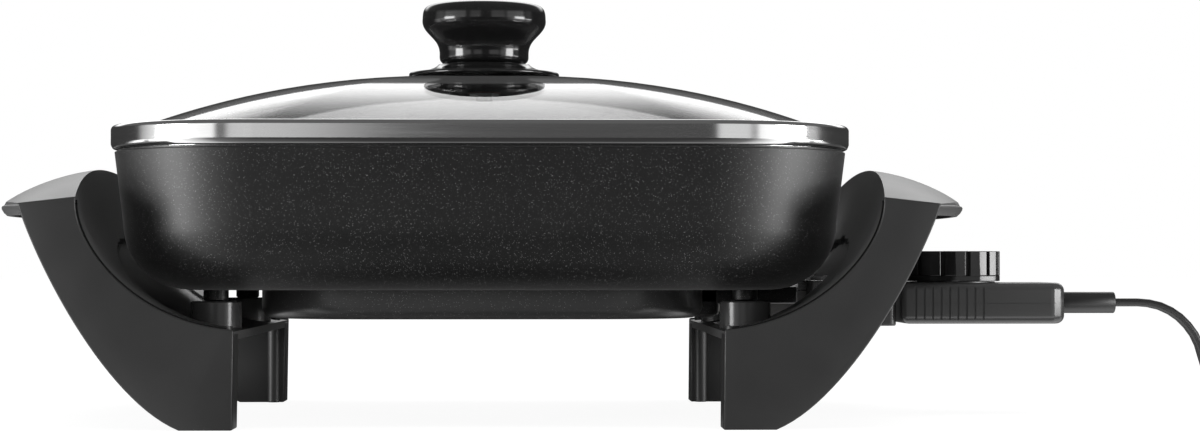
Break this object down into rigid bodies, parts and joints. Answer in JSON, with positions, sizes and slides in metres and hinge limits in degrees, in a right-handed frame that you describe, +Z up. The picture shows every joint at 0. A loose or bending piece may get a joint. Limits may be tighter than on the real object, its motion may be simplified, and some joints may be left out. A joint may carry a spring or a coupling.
{
  "type": "electric skillet",
  "caption": "Electric skillet: cast rectangular pan on moulded handles with legs, lift-off glass lid with knob, plug-in heat control with dial and cord.",
  "frame": {"origin": "on the counter, under the middle of the whole skillet with its heat control plugged in, without the free cord", "axes": "+X along the long side towards the heat control, +Y from the front of the pan to its back, +Z up"},
  "size_m": [0.811, 0.3048, 0.2231],
  "materials": {
    "pan_coating": "die-cast aluminium under a dark non-stick coating with fine light flecks",
    "heater_sheath": "drawn tube, embedded in the casting",
    "ceramic": "ceramic insulating bush",
    "terminal_metal": "plated terminal pins",
    "handle_plastic": "fine matte phenolic moulding",
    "steel": "zinc-plated fasteners and brackets",
    "lid_glass": "clear tempered glass",
    "seal_rubber": "black silicone",
    "band_steel": "polished stainless steel band",
    "knob_plastic": "gloss black phenolic",
    "brass": "brass and bronze contact parts",
    "fibre": "red vulcanised fibre",
    "control_plastic": "satin black housing",
    "nose_plastic": "dark heat-resistant moulding",
    "probe_metal": "drawn sensor tube",
    "insulator": "steatite and mica insulators",
    "contact_silver": "silver contact rivets",
    "wire_insulation": "high-temperature lead insulation",
    "cord_rubber": "black rubber heater cord, strain relief and plug",
    "dial_plastic": "gloss black dial",
    "tie": "black cord tie"
  },
  "bodies": {
    "skillet": {"pan": "pan_coating", "heating_element": "heater_sheath", "terminal_bushes": "ceramic", "terminal_pins": "terminal_metal", "left_handle": "handle_plastic", "right_handle": "handle_plastic", "handle_washers": "steel", "handle_screws": "steel"},
    "lid": {"lid_glass": "lid_glass", "lid_seal": "seal_rubber", "lid_band": "band_steel", "knob": "knob_plastic", "knob_base": "knob_plastic", "knob_insert": "brass", "knob_fibre_washer": "fibre", "knob_steel_washer": "steel", "knob_screw": "steel"},
    "heat_control": {"control_top_shell": "control_plastic", "control_bottom_shell": "control_plastic", "control_screws": "steel", "nose_block": "nose_plastic", "female_terminals": "brass", "sensor_tube": "probe_metal", "push_rod": "insulator", "thermostat_bracket": "steel", "insulator_stack": "insulator", "fixed_leaf": "brass", "moving_leaf": "brass", "contacts": "contact_silver", "inner_leads": "wire_insulation", "strain_relief": "cord_rubber", "cord": "cord_rubber", "cord_coil": "cord_rubber", "coil_tie": "tie", "plug_body": "cord_rubber", "plug_blades": "terminal_metal"},
    "dial_set": {"dial": "dial_plastic", "dial_spindle": "steel", "thermostat_cam": "insulator"}
  },
  "joints": [
    {"name": "lid_lift", "type": "slide", "parent": "skillet", "child": "lid", "axis": [0, 0, 1], "range_m": [0, 0.12]},
    {"name": "control_unplug", "type": "slide", "parent": "skillet", "child": "heat_control", "axis": [1, 0, 0], "range_m": [0, 0.12]},
    {"name": "dial_turn", "type": "hinge", "parent": "heat_control", "child": "dial_set", "pos_m": [0.21002, 0, 0.0722], "axis": [0, 0, 1], "range_deg": [0, 290]}
  ]
}
